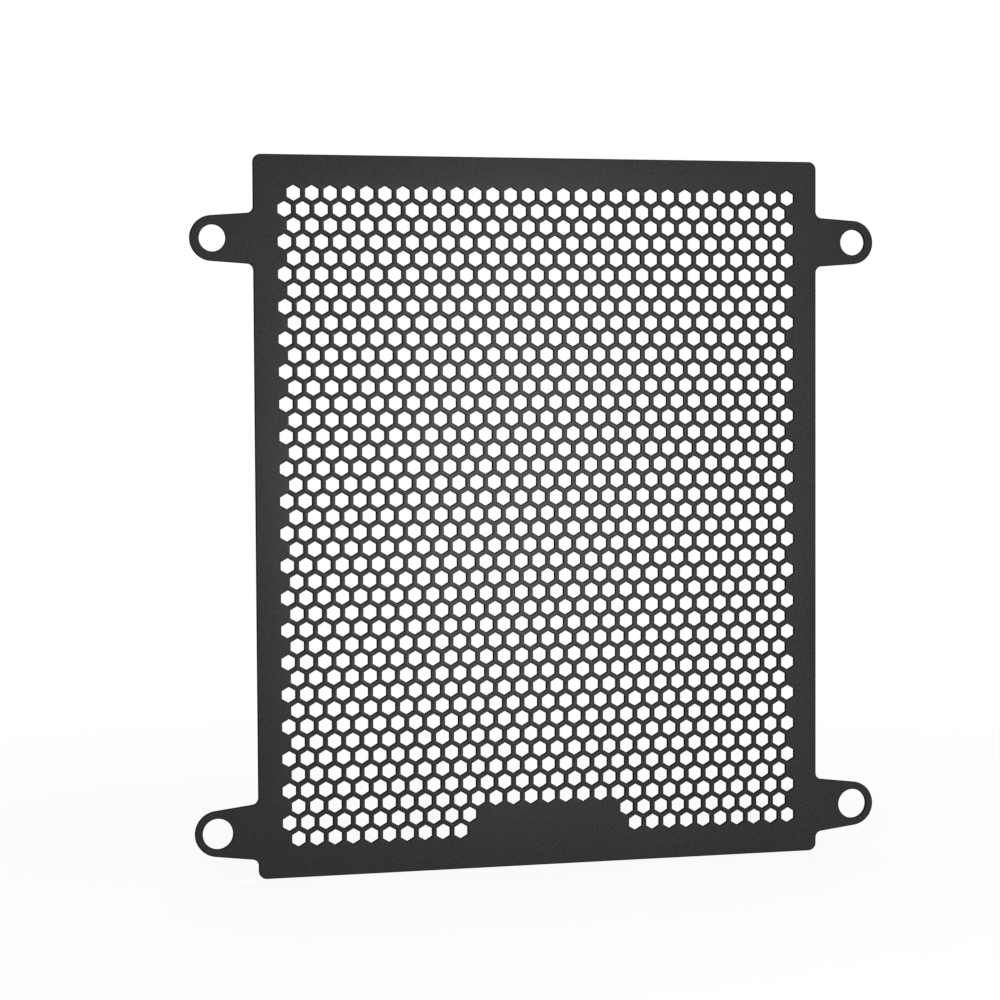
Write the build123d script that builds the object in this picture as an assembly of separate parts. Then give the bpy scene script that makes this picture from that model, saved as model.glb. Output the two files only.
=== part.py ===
"""Motorcycle radiator guard: one flat sheet with a honeycomb of openings and four bolt ears.

The real guard is laser-cut from aluminium sheet in one piece and then powder coated. It is drawn here
in the same order: a flat outline, the openings cut in it, and one thickness. The guard stands upright
with its front towards -Y. The origin lies midway between the upper bolt holes, on the back face that
seats against the radiator. All sizes are in millimetres.
"""

import os
from math import cos, radians, sin, sqrt, tan

from build123d import *

# Sheet: the thickness is a stock gauge, and the walls seen inside the openings scale all else from it
sheet_thickness = 1.5
panel_width = 223.2
panel_height = 271.4
corner_radius = 3.0

# Honeycomb: pointed-top cells in staggered rows, as many as the borders leave room for
cell_across_flats = 5.3
web_width = 1.7
least_side_border = 8.8
top_border = 11.2
least_bottom_border = 10.8

# Plain patch: the lowest rows leave out their middle cells
patch_width = 59.5
patch_rows = 2

# Ears: a tab with straight tapered edges and a round end about its bolt hole
ear_reach = 15.4
ear_root_fillet = 2.5
upper_bolt_drop = 31.3
upper_hole_diameter = 10.0
upper_ring_width = 3.5
upper_ear_taper = 4.0
lower_bolt_rise = 17.9
lower_hole_diameter = 11.5
lower_ring_width = 2.9
lower_ear_taper = 7.0

# Places and sizes that follow from these
half_width = panel_width / 2
half_height = panel_height / 2
bolt_x = half_width + ear_reach
upper_bolt_z = half_height - upper_bolt_drop
lower_bolt_z = lower_bolt_rise - half_height
upper_end_radius = upper_hole_diameter / 2 + upper_ring_width
lower_end_radius = lower_hole_diameter / 2 + lower_ring_width
cell_pitch = cell_across_flats + web_width
row_pitch = cell_pitch * sqrt(3) / 2
row_shift = cell_pitch / 4
cell_half_height = cell_across_flats / sqrt(3)


def root_half_width(end_radius, taper):
    """Half the width of an ear where it leaves the side of the panel."""
    return end_radius / cos(radians(taper)) + ear_reach * tan(radians(taper))


def ear(side, bolt_z, end_radius, taper):
    """One ear, with its edges tangent to the round end and its foot laid over the panel."""
    root = root_half_width(end_radius, taper)
    touch_x = ear_reach + end_radius * sin(radians(taper))
    touch_z = end_radius * cos(radians(taper))
    tip = (ear_reach + end_radius, 0)
    foot_x = -half_width / 2
    edges = Polyline((touch_x, -touch_z), (0, -root), (foot_x, -root),
                     (foot_x, root), (0, root), (touch_x, touch_z))
    end = ThreePointArc((touch_x, touch_z), tip, (touch_x, -touch_z))
    right_ear = Pos(half_width, bolt_z) * make_face(edges + end)
    return right_ear if side > 0 else mirror(right_ear, about=Plane.YZ)


def rounded(outline, corners, radius):
    """The outline with a fillet at each of the given corners."""
    return fillet([outline.vertices().sort_by_distance(corner)[0] for corner in corners], radius)


def cell_middles():
    """Middles of the openings, row by row from the top, without those of the plain patch."""
    row_room = panel_width - 2 * least_side_border - cell_across_flats - 2 * row_shift
    columns = int(row_room / cell_pitch) + 1
    rows_room = panel_height - top_border - least_bottom_border - 2 * cell_half_height
    rows = int(rows_room / row_pitch) + 1
    top_z = half_height - top_border - cell_half_height
    middles = []
    for row in range(rows):
        shift = -row_shift if row % 2 else row_shift
        for column in range(columns):
            x = (column - (columns - 1) / 2) * cell_pitch + shift
            if row < rows - patch_rows or abs(x - row_shift) > patch_width / 2:
                middles.append((x, top_z - row * row_pitch))
    return middles


# Outline: the panel with an ear near each corner
blank = Rectangle(panel_width, panel_height)
for side in (-1, 1):
    blank += ear(side, upper_bolt_z, upper_end_radius, upper_ear_taper)
    blank += ear(side, lower_bolt_z, lower_end_radius, lower_ear_taper)

# Rounded corners and ear roots, limited by the plain side left between them
upper_root = root_half_width(upper_end_radius, upper_ear_taper)
lower_root = root_half_width(lower_end_radius, lower_ear_taper)
fillet_room = min(upper_bolt_drop - upper_root, lower_bolt_rise - lower_root) / 2
root_heights = (upper_bolt_z + upper_root, upper_bolt_z - upper_root,
                lower_bolt_z + lower_root, lower_bolt_z - lower_root)
panel_corners = [(x, z) for x in (-half_width, half_width) for z in (-half_height, half_height)]
ear_roots = [(x, z) for x in (-half_width, half_width) for z in root_heights]
blank = rounded(blank, panel_corners, min(corner_radius, fillet_room))
blank = rounded(blank, ear_roots, min(ear_root_fillet, fillet_room))

# Openings: one hexagon copied to each place in the honeycomb, and a round hole in each ear
cell = RegularPolygon(cell_across_flats / 2, 6, major_radius=False, rotation=30).wire()
openings = [Pos(x, z) * cell for x, z in cell_middles()]
for side in (-1, 1):
    openings.append(Pos(side * bolt_x, upper_bolt_z) * Circle(upper_hole_diameter / 2).wire())
    openings.append(Pos(side * bolt_x, lower_bolt_z) * Circle(lower_hole_diameter / 2).wire())

# The cut sheet, one thickness forward of its back face and stood upright about the upper bolts
cut_face = Face(blank.face().outer_wire(), openings)
back_face = Plane((0, 0, -upper_bolt_z), x_dir=(1, 0, 0), z_dir=(0, -1, 0))
guard_sheet = back_face * extrude(cut_face, sheet_thickness, dir=(0, 0, 1))

os.makedirs("parts", exist_ok=True)
export_step(guard_sheet, "parts/guard_sheet.step", write_pcurves=False)
print("openings", len(openings), "volume", round(guard_sheet.volume), "mm3")
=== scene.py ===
# %% [markdown]
# # A motorcycle radiator guard
# The real guard is one flat sheet of aluminium. It is bolted in front of the radiator, where its honeycomb
# lets the air through and stops the stones. A laser cuts the outline and all the openings, the cut edges are
# deburred, and a black powder coat is baked on. The CAD model already has the exact cut sheet. This lesson
# keeps that form and adds what a drawing leaves out: the coat, softened edges, and the light it is seen in.

# %% Load the CAD frame
from math import radians

import bpy
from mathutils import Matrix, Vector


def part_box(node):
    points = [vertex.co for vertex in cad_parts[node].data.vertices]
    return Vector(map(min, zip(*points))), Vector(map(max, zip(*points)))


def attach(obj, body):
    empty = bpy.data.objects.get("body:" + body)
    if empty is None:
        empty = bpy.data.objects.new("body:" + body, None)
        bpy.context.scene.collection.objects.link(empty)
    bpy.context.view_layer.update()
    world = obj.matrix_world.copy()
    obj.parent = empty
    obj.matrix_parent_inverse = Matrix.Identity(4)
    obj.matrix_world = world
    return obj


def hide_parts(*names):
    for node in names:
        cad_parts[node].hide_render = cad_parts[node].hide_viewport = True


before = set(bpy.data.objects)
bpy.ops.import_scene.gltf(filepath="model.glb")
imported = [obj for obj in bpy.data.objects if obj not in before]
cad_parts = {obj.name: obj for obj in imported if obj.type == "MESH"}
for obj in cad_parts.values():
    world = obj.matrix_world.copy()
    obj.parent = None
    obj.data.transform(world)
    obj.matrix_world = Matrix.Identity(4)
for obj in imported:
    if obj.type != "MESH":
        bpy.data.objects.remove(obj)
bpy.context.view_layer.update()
mm = 0.001
sheet_low, sheet_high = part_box("guard_sheet")
print("CAD sheet in mm:", [round(side / mm, 2) for side in sheet_high - sheet_low])

# %% [markdown]
# ## The cut sheet
# Every cell, bolt hole and edge of the guard is a cut through the same sheet. It could be drawn again from a
# six-sided circle and two Array modifiers, but then the outline would have to be drawn twice as well. The CAD
# sheet has the right form in the right place, so a copy of its mesh is the start. An imported mesh is loose
# triangles, and merging their doubled corners joins them, so that a bevel can run round each rim.

# %% Copy the CAD sheet and merge it
merge_distance = 0.001 * mm
cut_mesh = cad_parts["guard_sheet"].data.copy()
cut_mesh.materials.clear()
coated_sheet = bpy.data.objects.new("coated_sheet", cut_mesh)
bpy.context.scene.collection.objects.link(coated_sheet)
bpy.ops.object.select_all(action="DESELECT")
coated_sheet.select_set(True)
bpy.context.view_layer.objects.active = coated_sheet
bpy.ops.object.mode_set(mode="EDIT")
bpy.ops.mesh.select_mode(type="FACE")
bpy.ops.mesh.select_all(action="SELECT")
bpy.ops.mesh.remove_doubles(threshold=merge_distance)
bpy.ops.mesh.select_all(action="DESELECT")
bpy.ops.object.mode_set(mode="OBJECT")
print("merged sheet:", len(cut_mesh.vertices), "corners and", len(cut_mesh.polygons), "faces")

# %% [markdown]
# ## The coat in the cells
# A powder coat is about 0.08 mm thick. On the wide faces that can't be seen, but it leaves each small cell a
# little narrower than it was cut, and the webs a little heavier. The walls of the cells are selected by their
# place, and Shrink/Fatten moves them along their own normals. With even offset the six corners stay true.

# %% Build up the coat on the walls of the cells
# The cells end 102 mm from the middle, and the corners of the outline begin at 108 mm. A face is a wall where
# its normal leans towards the front or back by less than wall_lean.
coat_thickness = 0.08 * mm
cells_half_width = 105 * mm
border = 5 * mm
wall_lean = 0.5


def front_area():
    """Area of the sheet's front in square millimetres."""
    return sum(face.area for face in cut_mesh.polygons if face.normal.y < -wall_lean) / mm ** 2


area_as_cut = front_area()
for face in cut_mesh.polygons:
    in_width = abs(face.center.x) < cells_half_width
    in_height = sheet_low.z + border < face.center.z < sheet_high.z - border
    face.select = in_width and in_height and abs(face.normal.y) < wall_lean
walls = sum(face.select for face in cut_mesh.polygons)
bpy.ops.object.mode_set(mode="EDIT")
bpy.ops.transform.shrink_fatten(value=coat_thickness, use_even_offset=True)
bpy.ops.object.mode_set(mode="OBJECT")
print("coated", walls, "wall faces")
print("the front grows from", round(area_as_cut), "to", round(front_area()), "mm2")

# %% [markdown]
# ## Broken edges
# A powder coat draws back from a sharp edge while it melts, so the cut edges are broken before coating, and
# the coat rounds them further. On the guard that is the thin dark line round each cell. A Bevel modifier
# rounds every rim at once. Its angle limit takes the square rims, and leaves the corners between the six
# walls of a cell, which turn by only 60 degrees. Loop Slide is off: it would let the new rims slide along
# the long thin triangles of the flat faces, and fold them over at the round corners.

# %% Break the edges of all the openings and the outline
edge_break = 0.3 * mm
square_rim = radians(70)
dead_flat = 0.999
bevel = coated_sheet.modifiers.new("edge_break", "BEVEL")
bevel.width = edge_break
bevel.segments = 2
bevel.limit_method = "ANGLE"
bevel.angle_limit = square_rim
bevel.use_clamp_overlap = False
bevel.loop_slide = False
bpy.ops.object.modifier_apply(modifier=bevel.name)
flat_faces = sum(abs(face.normal.y) > dead_flat for face in cut_mesh.polygons)
print("with broken edges:", len(cut_mesh.polygons), "faces, of which", flat_faces, "lie flat")

# %% [markdown]
# ## Shading
# The sheet is dead flat and only its rims are round. Smooth shading by angle joins the two strips of each
# rim and keeps the cell corners crisp. A Weighted Normal modifier then lets the large flat faces set the
# shading, so that the rounding stays within its narrow strips and doesn't bleed over the webs.

# %% Shade the rims smooth and the faces flat
crisp_corner = radians(50)
bpy.ops.object.shade_smooth_by_angle(angle=crisp_corner)
weighted = coated_sheet.modifiers.new("flat_faces", "WEIGHTED_NORMAL")
weighted.keep_sharp = True
bpy.ops.object.modifier_apply(modifier=weighted.name)
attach(coated_sheet, "root")
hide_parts("guard_sheet")
print("coated sheet:", sum(len(face.vertices) - 2 for face in cut_mesh.polygons), "triangles")

# %% [markdown]
# ## Black powder coat
# Powder coat is a polyester resin with carbon black, sprayed on dry and baked until it flows. It is not
# quite smooth: a matte one has a fine grain and a shallow waviness known as orange peel. To the eye it is a
# deep grey rather than black, with a broad soft highlight. Noise textures on Object coordinates give the
# grain, the waviness and a slow drift in shade where the coat lies thicker.

# %% Helpers for materials


def from_hex(text):
    """Linear colour from an sRGB hex value."""
    srgb = [int(text[i:i + 2], 16) / 255 for i in (1, 3, 5)]
    return [c / 12.92 if c <= 0.04045 else ((c + 0.055) / 1.055) ** 2.4 for c in srgb] + [1.0]


def add_node(tree, kind, settings=None, links=None):
    """Adds a node. Settings name its properties or inputs, and links feed inputs from other outputs."""
    node = tree.nodes.new(kind)
    for name, value in (settings or {}).items():
        if isinstance(name, str) and hasattr(node, name):
            setattr(node, name, value)
        else:
            node.inputs[name].default_value = value
    for name, output in (links or {}).items():
        tree.links.new(output, node.inputs[name])
    return node


def new_tree(owner):
    """The empty node tree of a new material or world."""
    owner.use_nodes = True
    owner.node_tree.nodes.clear()
    return owner.node_tree


# %% Draw the grain, the orange peel and the drift
# The real grain is about 0.2 mm. It is drawn coarser, so that it shows when the whole guard is in view.
grain_size = 0.7 * mm
peel_size = 2.2 * mm
drift_size = 60 * mm

powder_coat = bpy.data.materials.new("black_powder_coat")
tree = new_tree(powder_coat)
place = add_node(tree, "ShaderNodeTexCoord").outputs["Object"]
grain = add_node(tree, "ShaderNodeTexNoise", {"Scale": 1 / grain_size, "Detail": 2.0}, {"Vector": place})
peel = add_node(tree, "ShaderNodeTexNoise", {"Scale": 1 / peel_size, "Detail": 1.0}, {"Vector": place})
drift = add_node(tree, "ShaderNodeTexNoise", {"Scale": 1 / drift_size, "Detail": 2.0}, {"Vector": place})
print("patterns of", [round(size / mm, 1) for size in (grain_size, peel_size, drift_size)], "mm")

# %% Colour the face of the coat
# A Mix node has its colours in inputs 6 and 7 and output 2, and its numbers in inputs 2 and 3 and output 0
thin_coat = from_hex("#1f1f1f")
thick_coat = from_hex("#252525")
pale_speck = from_hex("#2f2f2f")
thickness = add_node(tree, "ShaderNodeMapRange", {"From Min": 0.35, "From Max": 0.65},
                     {"Value": drift.outputs["Fac"]})
shade = add_node(tree, "ShaderNodeMix", {"data_type": "RGBA", 6: thin_coat, 7: thick_coat},
                 {0: thickness.outputs["Result"]})
specks = add_node(tree, "ShaderNodeMapRange", {"From Min": 0.4, "From Max": 0.7},
                  {"Value": grain.outputs["Fac"]})
speckled = add_node(tree, "ShaderNodeMix", {"data_type": "RGBA", 7: pale_speck},
                    {0: specks.outputs["Result"], 6: shade.outputs[2]})
print("face colours:", len(tree.nodes), "nodes so far")

# %% [markdown]
# ## Dark rims, with painted shade
# On the rounded rims and the cut walls the coat is dull, and its colour is darkened to near black there as
# painted shade, which draws a fine dark outline round each cell. It could be a second material on those
# faces.
# Here the depth below the two faces is measured on Object coordinates instead, so that the same coat fades
# into its rims.

# %% Paint shade on the rims and the walls, and make them dull
rim_fade = 0.02 * mm
# The near-black of the rims and walls is painted shade, not a colour of the coat
painted_rim_shade = from_hex("#0a0a0a")
sheet_middle = (sheet_low + sheet_high) / 2
half_thickness = (sheet_high.y - sheet_low.y) / 2
across = add_node(tree, "ShaderNodeSeparateXYZ", None, {0: place})
from_middle = add_node(tree, "ShaderNodeMath", {"operation": "SUBTRACT", 1: sheet_middle.y},
                       {0: across.outputs["Y"]})
depth = add_node(tree, "ShaderNodeMath", {"operation": "ABSOLUTE"}, {0: from_middle.outputs[0]})
# This mask is 1 on the rims and walls: there it makes the coat dull, and darkens its colour as painted shade
rim_dull_and_shaded = add_node(tree, "ShaderNodeMapRange",
               {"From Min": half_thickness - rim_fade, "From Max": half_thickness,
                "To Min": 1.0, "To Max": 0.0},
               {"Value": depth.outputs[0]})
colour = add_node(tree, "ShaderNodeMix", {"data_type": "RGBA", 7: painted_rim_shade},
                  {0: rim_dull_and_shaded.outputs["Result"], 6: speckled.outputs[2]})
print("rims fade in over", round(rim_fade / mm, 2), "mm of depth")

# %% Set the gloss and the relief, and coat the sheet
relief_height = 0.02 * mm
relief_strength = 0.5
fully_dull = 1.0
dullness = add_node(tree, "ShaderNodeMapRange", {"To Min": 0.26, "To Max": 0.36},
                    {"Value": grain.outputs["Fac"]})
roughness = add_node(tree, "ShaderNodeMix", {"data_type": "FLOAT", 3: fully_dull},
                     {0: rim_dull_and_shaded.outputs["Result"], 2: dullness.outputs["Result"]})
waves = add_node(tree, "ShaderNodeBump", {"Strength": relief_strength, "Distance": relief_height},
                 {"Height": peel.outputs["Fac"]})
relief = add_node(tree, "ShaderNodeBump", {"Strength": relief_strength, "Distance": relief_height},
                  {"Height": grain.outputs["Fac"], "Normal": waves.outputs["Normal"]})
coat = add_node(tree, "ShaderNodeBsdfPrincipled", {"IOR": 1.5, "Specular IOR Level": 0.13},
                {"Base Color": colour.outputs[2], "Roughness": roughness.outputs[0],
                 "Normal": relief.outputs["Normal"]})
add_node(tree, "ShaderNodeOutputMaterial", None, {"Surface": coat.outputs["BSDF"]})
cut_mesh.materials.append(powder_coat)
print("powder coat:", len(tree.nodes), "nodes")

# %% [markdown]
# ## Floor
# A product picture on white has no visible horizon. The floor is a large pale plane just under the guard. To
# the camera it glows almost white near the guard, where it also takes light as a matt floor does and so keeps
# the guard's shadow, and fully white further off. To the light that it throws back it is a plain pale floor,
# so the guard gets no extra light from it.

# %% Lay the floor
# The sizes and places of the studio are in metres
floor_size = 30.0
bpy.ops.object.select_all(action="DESELECT")
bpy.ops.mesh.primitive_plane_add(size=floor_size, location=(0, 0, sheet_low.z))
bpy.ops.object.transform_apply(location=True, rotation=False, scale=False)
floor = bpy.context.active_object
floor.name = "floor"
print("floor at z =", round(sheet_low.z / mm, 1), "mm")

# %% Make the white paper of the floor
shadow_middle = (0.0, 0.08, sheet_low.z)
shadow_reach = 0.15
white_from = 0.45
paper_white = from_hex("#eeeeee")
pure_white = from_hex("#ffffff")


def seen_rays(tree):
    """An output that is 1 for what is seen directly, mirrored or through glass, and 0 for light on things."""
    path = add_node(tree, "ShaderNodeLightPath")
    seen = add_node(tree, "ShaderNodeMath", {"operation": "MAXIMUM"},
                    {0: path.outputs["Is Camera Ray"], 1: path.outputs["Is Glossy Ray"]})
    seen_through = add_node(tree, "ShaderNodeMath", {"operation": "MAXIMUM"},
                            {0: seen.outputs[0], 1: path.outputs["Is Transmission Ray"]})
    return seen_through.outputs[0]


white_paper = bpy.data.materials.new("white_paper")
tree = new_tree(white_paper)
place = add_node(tree, "ShaderNodeTexCoord").outputs["Object"]
reach = add_node(tree, "ShaderNodeVectorMath", {"operation": "DISTANCE", 1: shadow_middle}, {0: place})
glow = add_node(tree, "ShaderNodeMapRange",
                {"From Min": shadow_reach, "From Max": white_from, "To Min": 0.9, "To Max": 1.0},
                {"Value": reach.outputs["Value"]})
share = add_node(tree, "ShaderNodeMath", {"operation": "MULTIPLY"},
                 {0: seen_rays(tree), 1: glow.outputs["Result"]})
matt = add_node(tree, "ShaderNodeBsdfDiffuse", {"Color": paper_white})
white = add_node(tree, "ShaderNodeEmission", {"Color": pure_white, "Strength": 1.0})
paper = add_node(tree, "ShaderNodeMixShader", None,
                 {0: share.outputs[0], 1: matt.outputs["BSDF"], 2: white.outputs["Emission"]})
add_node(tree, "ShaderNodeOutputMaterial", None, {"Surface": paper.outputs["Shader"]})
floor.data.materials.append(white_paper)
print("white paper:", len(tree.nodes), "nodes")

# %% [markdown]
# ## World
# The world is white where it is seen, and a low even grey as a light, because the guard gets its shape from
# the lamps.

# %% Make the world
fill_strength = 0.25
studio = bpy.data.worlds.new("studio")
bpy.context.scene.world = studio
tree = new_tree(studio)
fill_light = add_node(tree, "ShaderNodeBackground", {"Color": pure_white, "Strength": fill_strength})
backdrop = add_node(tree, "ShaderNodeBackground", {"Color": pure_white, "Strength": 1.0})
surround = add_node(tree, "ShaderNodeMixShader", None,
                    {0: seen_rays(tree), 1: fill_light.outputs["Background"],
                     2: backdrop.outputs["Background"]})
add_node(tree, "ShaderNodeOutputWorld", None, {"Surface": surround.outputs["Shader"]})
print("world: white, with a fill light of", fill_strength)

# %% [markdown]
# ## Lamps
# The soft highlight lies over the middle of the sheet, so a small softbox stands close in front, where the
# sheet mirrors it towards the camera. A wide one above the front lights the faces evenly. A third one stands
# behind. From the front it isn't noticed, but it shows the coat on the back when the guard is turned round.

# %% Hang the softboxes


def softbox(name, power, width, height, place):
    """A rectangular area lamp of so many watts, turned towards the middle of the sheet."""
    lamp = bpy.data.lights.new(name, "AREA")
    lamp.energy = power
    lamp.shape = "RECTANGLE"
    lamp.size = width
    lamp.size_y = height
    holder = bpy.data.objects.new(name, lamp)
    bpy.context.scene.collection.objects.link(holder)
    holder.location = place
    holder.rotation_euler = (sheet_middle - holder.location).to_track_quat("-Z", "Y").to_euler()
    print(name, "hangs", round((sheet_middle - holder.location).length, 2), "m from the guard")


softbox("front_softbox", power=1.3, width=0.14, height=0.26, place=(0.12, -0.5, -0.1))
softbox("top_softbox", power=16.0, width=1.2, height=1.2, place=(0.0, -0.8, 1.6))
softbox("back_softbox", power=12.0, width=1.0, height=1.0, place=(0.4, 1.3, 0.9))

# %% [markdown]
# ## Camera
# The camera stands about a metre off, a little to the left, and slightly above the middle of the guard. Its
# place and turn come from matching the honeycomb's corners with the photograph.

# %% Set up the camera
camera_data = bpy.data.cameras.new("camera")
camera_data.sensor_width = 36.0
camera_data.lens = 100.33
camera = bpy.data.objects.new("camera", camera_data)
bpy.context.scene.collection.objects.link(camera)
camera.location = (-293.2 * mm, -1028.4 * mm, -49.7 * mm)
camera.rotation_euler = (radians(87.345), radians(0.303), radians(-15.055))
bpy.context.scene.camera = camera
bpy.context.scene.view_settings.view_transform = "Standard"
print("camera stands", round((camera.location - sheet_middle).length / mm), "mm from the guard")
